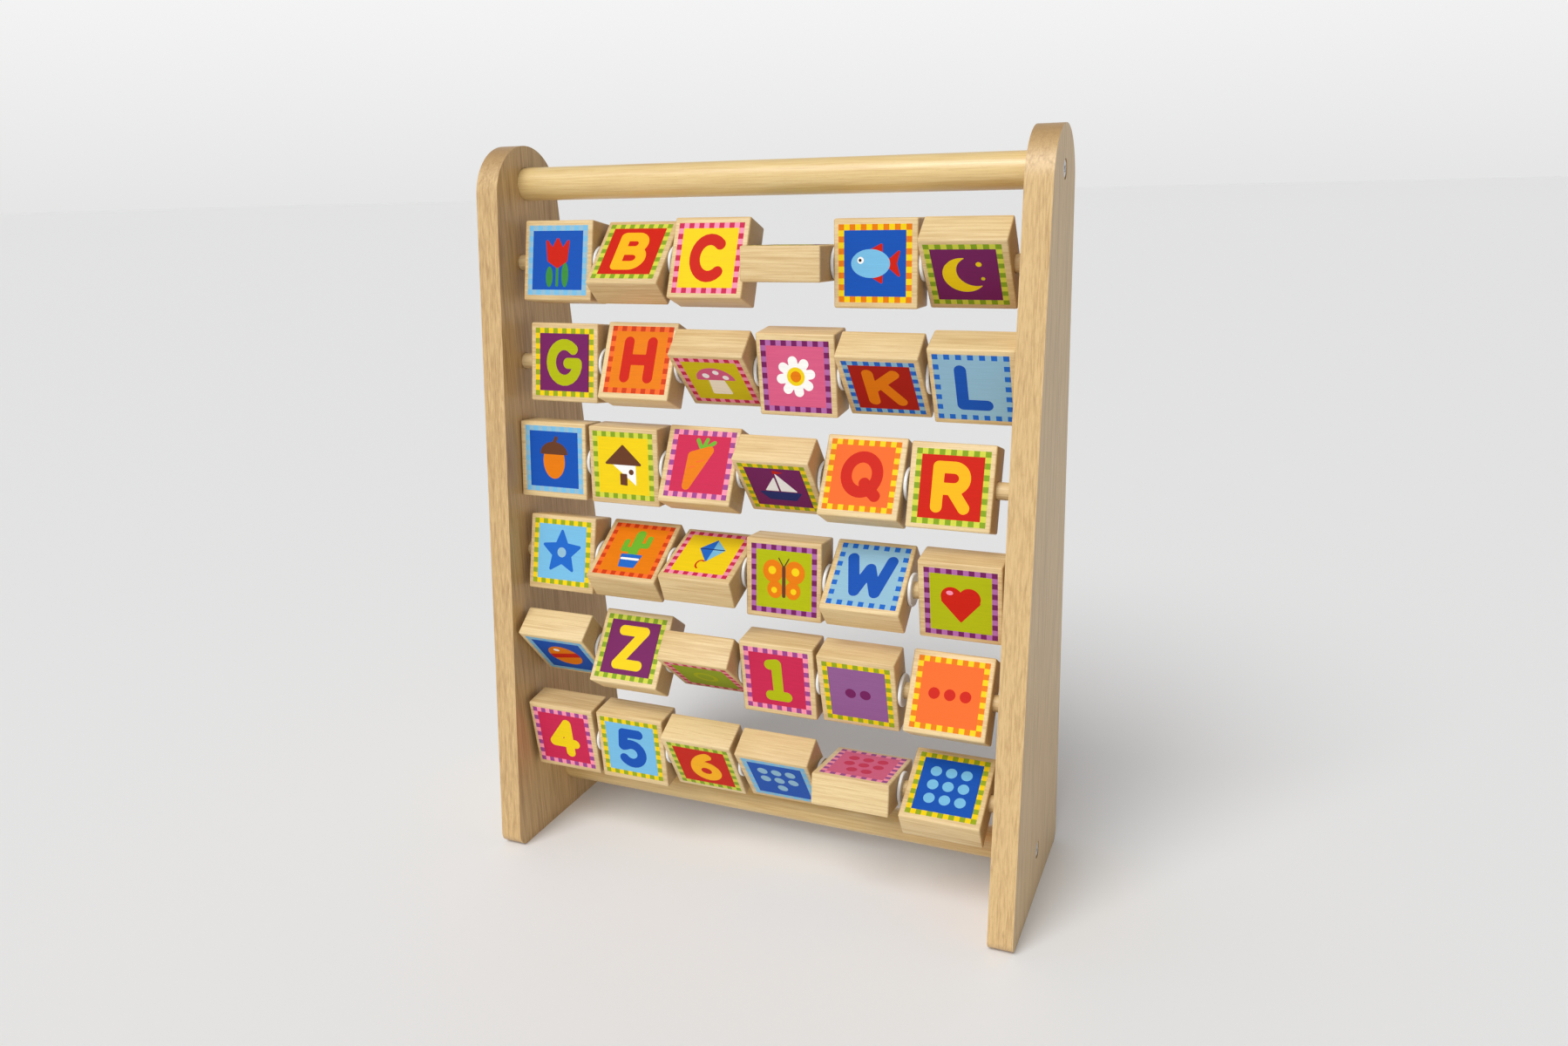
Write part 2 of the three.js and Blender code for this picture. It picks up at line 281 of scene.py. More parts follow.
# Mesh building
def piece_mesh(bm, name, materials, grain_axis=0, flat_area=None):
    """Turns a bmesh in millimetres into a mesh in metres with grain coordinates and end-grain marks."""
    bmesh.ops.recalc_face_normals(bm, faces=bm.faces[:])
    mesh = bpy.data.meshes.new(name)
    bm.to_mesh(mesh)
    bm.free()
    chance = random.Random(name)
    shift = [chance.uniform(-LOG_REACH, LOG_REACH) for _ in range(3)]
    order = [grain_axis] + [axis for axis in range(3) if axis != grain_axis]
    places = np.empty(len(mesh.vertices) * 3, np.float32)
    mesh.vertices.foreach_get("co", places)
    grain = places.reshape(-1, 3)[:, order] + np.array(shift, np.float32)
    attribute = mesh.attributes.new("grain", "FLOAT_VECTOR", "POINT")
    attribute.data.foreach_set("vector", grain.astype(np.float32).ravel())
    marks = mesh.color_attributes.new("marks", "FLOAT_COLOR", "CORNER")
    tint = chance.random()
    for polygon in mesh.polygons:
        end = min(max((abs(polygon.normal[grain_axis]) - 0.4) / 0.5, 0.0), 1.0)
        for corner in polygon.loop_indices:
            marks.data[corner].color = (end, tint, 0.0, 1.0)
        polygon.use_smooth = flat_area is not None and polygon.area < flat_area
    if flat_area is not None:
        mesh.set_sharp_from_angle(angle=SHARP_ANGLE)
    for material in materials:
        mesh.materials.append(material)
    mesh.transform(Matrix.Scale(MM, 4))
    return mesh


def add_piece(name, mesh, body, nodes, place=Matrix.Identity(4)):
    piece = bpy.data.objects.new(name, mesh)
    bpy.context.scene.collection.objects.link(piece)
    piece.matrix_world = place
    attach(piece, body)
    if nodes:
        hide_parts(*nodes)
    return piece


def lathe(bm, profile, sides, closed=False, centre=(0, 0, 0)):
    """Turns a profile of (place along X, radius) about X. A closed profile makes a ring."""
    rings = []
    for along, radius in profile:
        steps = sides if radius > 0 else 1
        ring = []
        for step in range(steps):
            angle = 2 * math.pi * step / sides
            offset = Vector((along, radius * math.cos(angle), radius * math.sin(angle)))
            ring.append(bm.verts.new(offset + Vector(centre)))
        rings.append(ring)
    pairs = list(zip(rings, rings[1:]))
    if closed:
        pairs.append((rings[-1], rings[0]))
    for first, second in pairs:
        for step in range(sides):
            after = (step + 1) % sides
            corners = [first[step % len(first)], first[after % len(first)]]
            corners += [second[after % len(second)], second[step % len(second)]]
            bm.faces.new(list(dict.fromkeys(corners)))


def carve(bm, cutter):
    """Takes the cutter's volume away from the solid in bm."""
    objects = []
    for name, source in (("carved", bm), ("cutter", cutter)):
        bmesh.ops.recalc_face_normals(source, faces=source.faces[:])
        mesh = bpy.data.meshes.new(name)
        source.to_mesh(mesh)
        source.free()
        made = bpy.data.objects.new(name, mesh)
        bpy.context.scene.collection.objects.link(made)
        objects.append(made)
    solid, tool = objects
    modifier = solid.modifiers.new("cut", "BOOLEAN")
    modifier.operation = "DIFFERENCE"
    modifier.solver = "EXACT"
    modifier.object = tool
    depsgraph = bpy.context.evaluated_depsgraph_get()
    result = bmesh.new()
    result.from_object(solid, depsgraph)
    for made in objects:
        mesh = made.data
        bpy.data.objects.remove(made)
        bpy.data.meshes.remove(mesh)
    return result


# Blocks
def block_solid():
    bm = bmesh.new()
    bmesh.ops.create_cube(bm, size=1.0)
    bmesh.ops.scale(bm, vec=(BLOCK_FACE, BLOCK_THICKNESS, BLOCK_FACE), verts=bm.verts[:])
    bmesh.ops.bevel(bm, geom=bm.edges[:], offset=BLOCK_ROUND, segments=3, profile=0.5, affect="EDGES")
    cutter = bmesh.new()
    reach = BLOCK_FACE
    lathe(cutter, [(-reach, 0), (-reach, BORE_RADIUS), (reach, BORE_RADIUS), (reach, 0)], ROD_SIDES)
    return carve(bm, cutter)


def block_matrix(sign):
    return Matrix.Translation(CENTRES[sign] * MM) @ Matrix.Rotation(math.radians(TURNS[sign]), 4, "X")


# Shapes in a print's plane, as distances that are negative inside
AXIS = np.arange(-PRINT_HALF, PRINT_HALF + GRID_STEP / 2, GRID_STEP)
U, V = np.meshgrid(AXIS, AXIS, indexing="ij")


def disc(u, v, radius, other=None):
    other = other or radius
    return (np.hypot((U - u) / radius, (V - v) / other) - 1) * min(radius, other)


def stroke(points, width):
    field = np.full(U.shape, 1e6)
    for (u0, v0), (u1, v1) in zip(points, points[1:]):
        du, dv = u1 - u0, v1 - v0
        share = np.clip(((U - u0) * du + (V - v0) * dv) / max(du * du + dv * dv, 1e-9), 0, 1)
        field = np.minimum(field, np.hypot(U - u0 - share * du, V - v0 - share * dv))
    return field - width / 2


def polygon(points, round_by=0.0):
    closed = list(points) + [points[0]]
    field = stroke(closed, 0.0)
    inside = np.zeros(U.shape, bool)
    for (u0, v0), (u1, v1) in zip(closed, closed[1:]):
        if v0 != v1:
            crosses = (v0 > V) != (v1 > V)
            inside ^= crosses & (U < (u1 - u0) * (V - v0) / (v1 - v0) + u0)
    return np.where(inside, -field, field) - round_by


def join(*fields):
    return np.minimum.reduce(fields)


def keep(first, second):
    return np.maximum(first, second)


def without(first, second):
    return np.maximum(first, -second)


def arc(u, v, ru, rv, start, end, steps=18):
    angles = [math.radians(start + (end - start) * step / steps) for step in range(steps + 1)]
    return [(u + ru * math.cos(angle), v + rv * math.sin(angle)) for angle in angles]


# Letters and digits: centre lines in a cell one unit high
STEM = [(-0.34, -0.5), (-0.34, 0.5)]
BOWL = [(-0.34, 0.5)] + arc(0.06, 0.23, 0.28, 0.27, 90, -90) + [(-0.34, -0.04)]
GLYPHS = {
    "A": [[(-0.42, -0.5), (0, 0.5), (0.42, -0.5)], [(-0.24, -0.17), (0.24, -0.17)]],
    "B": [STEM, [(-0.34, 0.5)] + arc(0.03, 0.26, 0.24, 0.24, 90, -90) + [(-0.34, 0.02)],
          [(-0.34, 0.02)] + arc(0.06, -0.24, 0.28, 0.26, 90, -90) + [(-0.34, -0.5)]],
    "C": [arc(0.04, 0, 0.42, 0.5, 48, 312)],
    "D": [STEM, [(-0.34, 0.5)] + arc(-0.06, 0, 0.42, 0.5, 90, -90) + [(-0.34, -0.5)]],
    "E": [[(0.3, 0.5), (-0.3, 0.5), (-0.3, -0.5), (0.3, -0.5)], [(-0.3, 0), (0.22, 0)]],
    "F": [[(0.32, 0.5), (-0.3, 0.5), (-0.3, -0.5)], [(-0.3, 0), (0.2, 0)]],
    "G": [arc(0, 0, 0.43, 0.5, 48, 348) + [(0.42, -0.02), (0.12, -0.02)]],
    "H": [[(-0.36, -0.5), (-0.36, 0.5)], [(0.36, -0.5), (0.36, 0.5)], [(-0.36, 0), (0.36, 0)]],
    "I": [[(0, -0.5), (0, 0.5)], [(-0.18, 0.5), (0.18, 0.5)], [(-0.18, -0.5), (0.18, -0.5)]],
    "J": [[(0.24, 0.5), (0.24, -0.2)] + arc(-0.05, -0.2, 0.29, 0.3, 0, -155)],
    "K": [STEM, [(0.34, 0.5), (-0.34, -0.08)], [(-0.06, 0.14), (0.38, -0.5)]],
    "L": [[(-0.28, 0.5), (-0.28, -0.5), (0.32, -0.5)]],
    "M": [[(-0.46, -0.5), (-0.4, 0.5), (0, -0.2), (0.4, 0.5), (0.46, -0.5)]],
    "N": [[(-0.36, -0.5), (-0.36, 0.5), (0.36, -0.5), (0.36, 0.5)]],
    "O": [arc(0, 0, 0.44, 0.5, 0, 360, 30)],
    "P": [STEM, BOWL],
    "Q": [arc(0, 0.03, 0.42, 0.47, 0, 360, 30), [(0.1, -0.2), (0.42, -0.52)]],
    "R": [STEM, BOWL, [(0.02, -0.04), (0.36, -0.5)]],
    "S": [arc(0, 0.25, 0.3, 0.25, 38, 270) + arc(0, -0.25, 0.33, 0.25, 90, -142)],
    "T": [[(-0.4, 0.5), (0.4, 0.5)], [(0, 0.5), (0, -0.5)]],
    "U": [[(-0.36, 0.5), (-0.36, -0.14)] + arc(0, -0.14, 0.36, 0.36, 180, 360) + [(0.36, 0.5)]],
    "V": [[(-0.4, 0.5), (0, -0.5), (0.4, 0.5)]],
    "W": [[(-0.54, 0.5), (-0.28, -0.5), (0, 0.22), (0.28, -0.5), (0.54, 0.5)]],
    "X": [[(-0.38, 0.5), (0.38, -0.5)], [(0.38, 0.5), (-0.38, -0.5)]],
    "Y": [[(-0.38, 0.5), (0, -0.02), (0.38, 0.5)], [(0, -0.02), (0, -0.5)]],
    "Z": [[(-0.34, 0.5), (0.34, 0.5), (-0.34, -0.5), (0.34, -0.5)]],
    "0": [arc(0, 0, 0.36, 0.5, 0, 360, 30)],
    "1": [[(-0.2, 0.46), (0, 0.5), (0.02, -0.5)], [(-0.22, -0.5), (0.26, -0.5)]],
    "2": [arc(0, 0.2, 0.32, 0.3, 165, -25) + [(-0.34, -0.5), (0.36, -0.5)]],
    "3": [arc(0, 0.26, 0.28, 0.24, 150, -90) + arc(0, -0.24, 0.32, 0.26, 90, -150)],
    "4": [[(0.16, -0.5), (0.16, 0.5), (-0.36, -0.18), (0.36, -0.18)]],
    "5": [[(0.28, 0.5), (-0.22, 0.5), (-0.27, 0.06)] + arc(0, -0.18, 0.33, 0.32, 125, -145)],
    "6": [arc(0.03, -0.2, 0.32, 0.3, 0, 360, 24), arc(0.5, -0.2, 0.79, 0.76, 180, 112, 12)],
    "7": [[(-0.34, 0.5), (0.34, 0.5), (-0.08, -0.5)]],
    "8": [arc(0, 0.26, 0.26, 0.24, 0, 360, 24), arc(0, -0.24, 0.32, 0.26, 0, 360, 24)],
    "9": [arc(-0.03, 0.2, 0.32, 0.3, 0, 360, 24), arc(-0.5, 0.2, 0.79, 0.76, 0, -68, 12)],
}


def glyph(sign):
    lines = [[(u * GLYPH_HEIGHT, v * GLYPH_HEIGHT) for u, v in line] for line in GLYPHS[sign]]
    return [join(*[stroke(line, GLYPH_STROKE) for line in lines])]


# Plain pictures: each gives its fields from back to front
def tulip():
    cup = polygon([(-6, 9), (-3, 5), (0, 10), (3, 5), (6, 9), (5, 0), (0, -3), (-5, 0)], 0.8)
    leaves = join(disc(-4.5, -8, 2, 5), disc(4.5, -7, 2, 6))
    return [join(stroke([(0, -2), (0, -12)], 1.6), leaves), cup]


def fish():
    tail = polygon([(5, 0), (11, 5), (9.5, 0), (11, -5)], 0.6)
    fins = join(polygon([(-3, 5), (3, 8), (3, 4)], 0.6), polygon([(-2, -5), (3, -8), (3, -4)], 0.6))
    return [join(tail, fins), disc(-2, 0, 9, 6.2), disc(-6.6, 1.4, 1.5), disc(-6.8, 1.4, 0.7)]


def mushroom():
    cap = keep(disc(0, 1, 10, 9), -(V - 0.5))
    spots = join(disc(-4.5, 4, 1.8), disc(1.5, 6.6, 1.6), disc(5.6, 3, 1.6))
    return [polygon([(-3, 2), (3, 2), (4.2, -9), (-4.2, -9)], 1.0), cap, spots]


def daisy():
    turns = [math.radians(45 * step + 10) for step in range(8)]
    petals = join(*[stroke([(0, 0), (7.4 * math.cos(a), 7.4 * math.sin(a))], 4.6) for a in turns])
    return [petals, disc(0, 0, 4.4), disc(0, 0, 2.6)]


def acorn():
    cap = keep(disc(0, 3, 8, 6), -(V - 2.5))
    return [disc(0, -1, 6.4, 9), join(cap, stroke([(0, 8), (1.5, 11)], 2.0))]


def house():
    walls = polygon([(-7, 1), (7, 1), (7, -10), (-7, -10)])
    roof = polygon([(-9.5, 1), (9.5, 1), (0, 10)], 0.6)
    return [walls, roof, join(polygon([(-2, -10), (2, -10), (2, -4), (-2, -4)]), disc(4.4, -3, 1.4))]


def carrot():
    root = polygon([(-5, 4), (4, 7), (-5.5, -11)], 2.2)
    tops = join(*[stroke([(0, 7), tip], 2.0) for tip in ((-3, 12), (2, 12.4), (6, 11))])
    rings = join(stroke([(-2, 1), (2, 2)], 0.7), stroke([(-5.5, -2), (-2.6, -1.2)], 0.7))
    return [tops, root, rings]


def sailboat():
    hull = polygon([(-10, -4), (10, -4), (6.5, -9), (-6.5, -9)], 0.6)
    mainsail = polygon([(0.8, 10), (0.8, -2.4), (8.5, -2.4)], 0.3)
    jib = polygon([(-0.8, 7), (-0.8, -2.4), (-7, -2.4)], 0.3)
    return [hull, join(mainsail, jib), polygon([(0, 12.6), (0, 10.4), (4.4, 11.4)], 0.2)]


def star():
    points = []
    for step in range(10):
        reach = 11 if step % 2 == 0 else 5.2
        angle = math.radians(90 + 36 * step)
        points.append((reach * math.cos(angle), reach * math.sin(angle)))
    return [polygon(points, 0.8), disc(0, 0, 2.6)]


def cactus():
    arms = join(stroke([(0, -3), (0, 10)], 5.4), stroke([(0, 0), (-6, 0), (-6, 5)], 3.2))
    pot = polygon([(-5.5, -3.5), (5.5, -3.5), (4, -11), (-4, -11)], 0.5)
    return [join(arms, stroke([(0, 3), (6, 3), (6, 8)], 3.2)), pot, stroke([(-4.6, -6), (4.6, -6)], 1.4)]


def kite():
    left = polygon([(1, 11), (-5.5, 4), (1, -5)], 0.4)
    tail = stroke([(1, -5)] + arc(-1, -8, 2, 3, 60, 260, 8), 0.9)
    return [tail, polygon([(1, 11), (7.5, 4), (1, -5)], 0.4), left, stroke([(-5.5, 4), (7.5, 4)], 0.7)]


def butterfly():
    upper = join(disc(-5.6, 4, 5.2, 5.6), disc(5.6, 4, 5.2, 5.6))
    lower = join(disc(-4.6, -5, 4, 4.4), disc(4.6, -5, 4, 4.4))
    spots = join(disc(-6, 4.4, 2), disc(6, 4.4, 2), disc(-5, -5.4, 1.5), disc(5, -5.4, 1.5))
    feelers = join(stroke([(0, 6), (-2.6, 10.6)], 0.6), stroke([(0, 6), (2.6, 10.6)], 0.6))
    return [join(upper, lower), spots, join(stroke([(0, 6), (0, -8)], 1.8), feelers)]


def ball():
    whole = disc(0, 0, 9.5)
    return [whole, keep(whole, np.abs(V - 0.25 * U) - 2.2), disc(-3, 5.4, 1.8, 1.3)]


def moon():
    return [without(disc(-1, 0, 9.5), disc(4, 2, 8.2)), disc(6, 6, 1.3), disc(7, -2, 0.9)]


def heart():
    whole = join(disc(-4.2, 3, 5), disc(4.2, 3, 5), polygon([(-8.6, 0.8), (8.6, 0.8), (0, -9)], 0.5))
    return [whole, disc(-5, 5, 1.6, 1.1)]


def cloud():
    drops = join(*[stroke([(u, -5), (u - 0.8, -8)], 1.4) for u in (-5, 0, 5)])
    puffs = join(disc(-5, 1, 5), disc(1, 3.5, 6), disc(6.4, 0.4, 4.4))
    return [join(puffs, stroke([(-5, -1.6), (6, -1.6)], 4.6)), drops]


def leaf():
    blade = keep(disc(-3.6, 0, 10.5), disc(3.6, 0, 10.5))
    return [stroke([(0, -8), (0, -12)], 1.5), blade, stroke([(0, -8), (0, 6)], 0.8)]


PICTURES = {
    made.__name__: made
    for made in (tulip, fish, mushroom, daisy, acorn, house, carrot, sailboat, star, cactus, kite,
                 butterfly, ball, moon, heart, cloud, leaf)
}


def dots(count):
    """Counting dots in rows of up to three, and an empty ring for none."""
    if count == 0:
        outer, inner = NOUGHT_RADII
        return [without(disc(0, 0, outer), disc(0, 0, inner))]
    rows = [min(DOTS_ACROSS, count - first) for first in range(0, count, DOTS_ACROSS)]
    spots = []
    for row, across in enumerate(rows):
        for place in range(across):
            u = (place - (across - 1) / 2) * DOT_PITCH
            v = ((len(rows) - 1) / 2 - row) * DOT_PITCH
            spots.append(disc(u, v, DOT_RADIUS))
    return [join(*spots)]


# What each block carries: the face turned to the player, then the face behind it.
# A face is a word for its picture, "sign" or "dots", then panel, border and the picture's colours.
PRINTS = {
    "A": ("tulip royal sky leaf red", "sign yellow rose crimson"),
    "B": ("sign red lime amber", "ball sky honey yellow red white"),
    "C": ("sign yellow rose red", "cloud royal sky white sky"),
    "D": ("daisy vermilion lemon white yellow orange", "sign purple lemon lime"),
    "E": ("fish royal honey red sky white ink", "sign orange brick red"),
    "F": ("moon purple lime yellow yellow lemon", "sign red lime amber"),
    "G": ("sign purple lemon lime", "leaf lime plum brown leaf green"),
    "H": ("sign orange brick red", "heart pink berry red blush"),
    "I": ("mushroom lemon rose cream pink white", "sign crimson berry yellow"),
    "J": ("daisy pink plum white yellow orange", "sign sky honey royal"),
    "K": ("sign brick sea orange", "kite yellow rose red sky blue white"),
    "L": ("sign cyan sea royal", "tulip orange brick leaf crimson"),
    "M": ("acorn royal sky orange brown", "sign lime plum purple"),
    "N": ("house yellow lime white brown brown", "sign pink plum crimson"),
    "O": ("carrot crimson berry green orange vermilion", "sign purple lemon yellow"),
    "P": ("sailboat purple lemon navy white red", "sign yellow rose red"),
    "Q": ("sign vermilion honey red", "star royal sky yellow amber"),
    "R": ("sign red lime amber", "cloud purple lemon white lilac"),
    "S": ("star sky lemon blue cyan", "sign crimson berry lime"),
    "T": ("cactus orange brick green blue white", "sign royal sky yellow"),
    "U": ("kite yellow rose red sky blue navy", "sign purple lime yellow"),
    "V": ("butterfly lime plum orange yellow brown", "sign sky honey royal"),
    "W": ("sign cyan sea royal", "fish crimson berry yellow orange white ink"),
    "X": ("heart lime plum red blush", "sign orange brick red"),
    "Y": ("ball royal sky orange red white", "sign lime plum crimson"),
    "Z": ("sign purple lime yellow", "butterfly sky honey crimson yellow navy"),
    "0": ("dots olive rose lime", "sign pink plum crimson"),
    "1": ("sign crimson berry lime", "dots sky lemon royal"),
    "2": ("dots lavender lemon purple", "sign vermilion honey red"),
    "3": ("dots vermilion honey red", "sign lime plum purple"),
    "4": ("sign crimson berry yellow", "dots orange brick red"),
    "5": ("sign sky lemon royal", "dots yellow rose crimson"),
    "6": ("sign red lime amber", "dots lime plum purple"),
    "7": ("dots royal sky cyan", "sign yellow rose red"),
    "8": ("dots pink berry crimson", "sign royal sky yellow"),
    "9": ("dots royal lemon sky", "sign vermilion honey red"),
}


def outlines(field):
    """Closed outlines of a field's inside, by walking the grid cells that its edge crosses."""
    inside = field < 0
    links = {}

    def crossing(i0, j0, i1, j1):
        first, second = field[i0, j0], field[i1, j1]
        share = first / (first - second)
        u = AXIS[i0] + (i1 - i0) * share * GRID_STEP
        v = AXIS[j0] + (j1 - j0) * share * GRID_STEP
        return (i0, j0, i1, j1), (u, v)

    places = {}
    mixed = inside[:-1, :-1].astype(int) + inside[1:, :-1] + inside[:-1, 1:] + inside[1:, 1:]
    for i, j in zip(*np.nonzero((mixed > 0) & (mixed < 4))):
        corners = [(i, j), (i + 1, j), (i + 1, j + 1), (i, j + 1)]
        starts, ends = [], []
        for (i0, j0), (i1, j1) in zip(corners, corners[1:] + corners[:1]):
            if inside[i0, j0] != inside[i1, j1]:
                low, high = sorted([(i0, j0), (i1, j1)])
                key, place = crossing(*low, *high)
                places[key] = place
                (ends if inside[i0, j0] else starts).append(key)
        for begin, end in zip(starts, ends if len(ends) == 1 else ends[::-1]):
            links[begin] = end
    loops = []
    while links:
        first, following = links.popitem()
        loop = [places[first]]
        while following != first:
            loop.append(places[following])
            following = links.pop(following)
        loops.append(loop)
    return loops


def thin(loop):
    """Drops the points that lie on the line between their neighbours."""
    kept = []
    for before, point, after in zip(loop[-1:] + loop[:-1], loop, loop[1:] + loop[:1]):
        along = (after[0] - before[0], after[1] - before[1])
        off = (point[0] - before[0]) * along[1] - (point[1] - before[1]) * along[0]
        if abs(off) > STRAIGHT_ENOUGH * math.hypot(*along) or not kept:
            kept.append(point)
    return kept


def raise_faces(bm, faces):
    """Gives flat faces at the print's surface a body that reaches into the wood."""
    made = bmesh.ops.extrude_face_region(bm, geom=faces, use_keep_orig=True)["geom"]
    for part in made:
        if isinstance(part, bmesh.types.BMVert):
            part.co.y = -BLOCK_THICKNESS / 2 + INK_SUNK


def print_base(bm, ink, panel, border):
    """The ring of checks and the panel inside it, as one plate."""
    dark, light = (linear(name) for name in BORDERS[border])
    edge = [-PRINT_HALF + step * CHECK_SIZE for step in range(CHECKS + 1)]
    top = -BLOCK_THICKNESS / 2 - INK_HEIGHT
    corners = {}

    def corner(i, j):
        if (i, j) not in corners:
            corners[i, j] = bm.verts.new((edge[i], top, edge[j]))
        return corners[i, j]

    def face(verts, colour):
        made = bm.faces.new(verts)
        for loop in made.loops:
            loop[ink] = colour
        return made

    faces = []
    last = CHECKS - 1
    for i in range(CHECKS):
        for j in range(CHECKS):
            if i in (0, last) or j in (0, last):
                around = [corner(i, j), corner(i + 1, j), corner(i + 1, j + 1), corner(i, j + 1)]
                faces.append(face(around, dark if (i + j) % 2 == 0 else light))
    rim = [corner(i, 1) for i in range(1, last)] + [corner(last, j) for j in range(1, last)]
    rim += [corner(i, last) for i in range(last, 1, -1)] + [corner(1, j) for j in range(last, 1, -1)]
    middle = bm.verts.new((0, top, 0))
    for index in range(len(rim)):
        faces.append(face([middle, rim[index - 1], rim[index]], linear(panel)))
    raise_faces(bm, faces)


def print_layer(bm, ink, field, colour, layer):
    """One colour of a picture, a little higher than the layer below it."""
    top = -BLOCK_THICKNESS / 2 - INK_HEIGHT - LAYER_STEP * layer
    edges = []
    for loop in outlines(field):
        points = [bm.verts.new((u, top, v)) for u, v in thin(loop)]
        edges += [bm.edges.new((points[index - 1], points[index])) for index in range(len(points))]
    filled = bmesh.ops.triangle_fill(bm, edges=edges, use_beauty=True, use_dissolve=False)["geom"]
    faces = [part for part in filled if isinstance(part, bmesh.types.BMFace)]
    for face in faces:
        for loop in face.loops:
            loop[ink] = colour
    raise_faces(bm, faces)


def print_face(sign, words):
    kind, panel, border, *tones = words.split()
    bm = bmesh.new()
    ink = bm.loops.layers.float_color.new("ink")
    print_base(bm, ink, panel, border)
    if kind == "sign":
        fields = glyph(sign)
    elif kind == "dots":
        fields = dots(int(sign))
    else:
        fields = PICTURES[kind]()
    for layer, (field, tone) in enumerate(zip(fields, tones), start=1):
        print_layer(bm, ink, field, linear(tone), layer)
    return bm


def settle(bm):
    """Puts vertices and faces in order of their places, which is the same on every run."""
    verts = sorted(bm.verts, key=lambda vert: tuple(vert.co))
    for index, vert in enumerate(verts):
        vert.index = index
    bm.verts.sort()
    faces = sorted(bm.faces, key=lambda face: sorted(vert.index for vert in face.verts))
    for index, face in enumerate(faces):
        face.index = index
    bm.faces.sort()


def print_mesh(sign):
    """Both faces' prints. The one behind is upright once the block has been turned over."""
    chance = random.Random("register" + sign)
    whole = bmesh.new()
    for side, words in enumerate(PRINTS[sign]):
        bm = print_face(sign, words)
        error = [chance.uniform(-REGISTER_ERROR, REGISTER_ERROR) for _ in range(2)]
        bmesh.ops.translate(bm, vec=(error[0], 0, error[1]), verts=bm.verts[:])
        bmesh.ops.rotate(bm, matrix=Matrix.Rotation(math.pi * side, 3, "X"), verts=bm.verts[:])
        made = bpy.data.meshes.new("side")
        bm.to_mesh(made)
        bm.free()
        whole.from_mesh(made)
        bpy.data.meshes.remove(made)
    settle(whole)
    return piece_mesh(whole, "print_" + sign, [print_ink])


blank = block_solid()
for sign in TURNS:
    place = block_matrix(sign)
    body = "block_" + sign
    wood = piece_mesh(blank.copy(), "wood_" + sign, [block_wood], flat_area=BLOCK_FLAT_AREA)
    add_piece("wood_" + sign, wood, body, [body], place)
    add_piece("print_" + sign, print_mesh(sign), body, [], place)
blank.free()


# Rods and their washers
def washer_profile(left):
    right = left + WASHER_THICKNESS
    hole = ROD_RADIUS + WASHER_FIT
    return [
        (left, hole), (left, WASHER_RADIUS - WASHER_ROUND), (left + WASHER_ROUND, WASHER_RADIUS),
        (right - WASHER_ROUND, WASHER_RADIUS), (right, WASHER_RADIUS - WASHER_ROUND), (right, hole),
    ]


rod_end = INNER_WIDTH / 2 + SOCKET_DEPTH - SEAT_GAP
for row, signs in enumerate(ROW_TURNS, start=1):
    node = "rod_row_%d" % row
    centre = CENTRES[signs[0]]
    middle = (0, centre.y, centre.z)
    bm = bmesh.new()
    profile = [(-rod_end, 0), (-rod_end, ROD_RADIUS), (rod_end, ROD_RADIUS), (rod_end, 0)]
    lathe(bm, profile, ROD_SIDES, centre=middle)
    mesh = piece_mesh(bm, "round_rod_%d" % row, [rod_wood], flat_area=ALL_CURVED)
    add_piece("round_rod_%d" % row, mesh, "frame", [node])
    bm = bmesh.new()
    for sign in signs[:-1]:
        left = CENTRES[sign].x + BLOCK_FACE / 2 + WASHER_GAP
        lathe(bm, washer_profile(left), WASHER_SIDES, closed=True, centre=middle)
    mesh = piece_mesh(bm, "washers_row_%d" % row, [washer_plastic], flat_area=ALL_CURVED)
    add_piece("washers_row_%d" % row, mesh, "frame", [node])


# Side boards
def board_outline():
    half = BOARD_BASE_DEPTH / 2
    lean = BOARD_LEAN
    top = (half * math.cos(lean) - BOARD_HEIGHT * math.sin(lean)) / (1 - math.sin(lean))
    foot = half - BOARD_FOOT_RADIUS / math.tan((math.pi / 2 - lean) / 2)
    tilt = math.degrees(lean)
    radius = BOARD_FOOT_RADIUS
    points = arc(foot, radius, radius, radius, -90, tilt, 10)
    points += arc(0, BOARD_HEIGHT - top, top, top, tilt, 180 - tilt, 64)
    points += arc(-foot, radius, radius, radius, 180 - tilt, 270, 10)
    return points


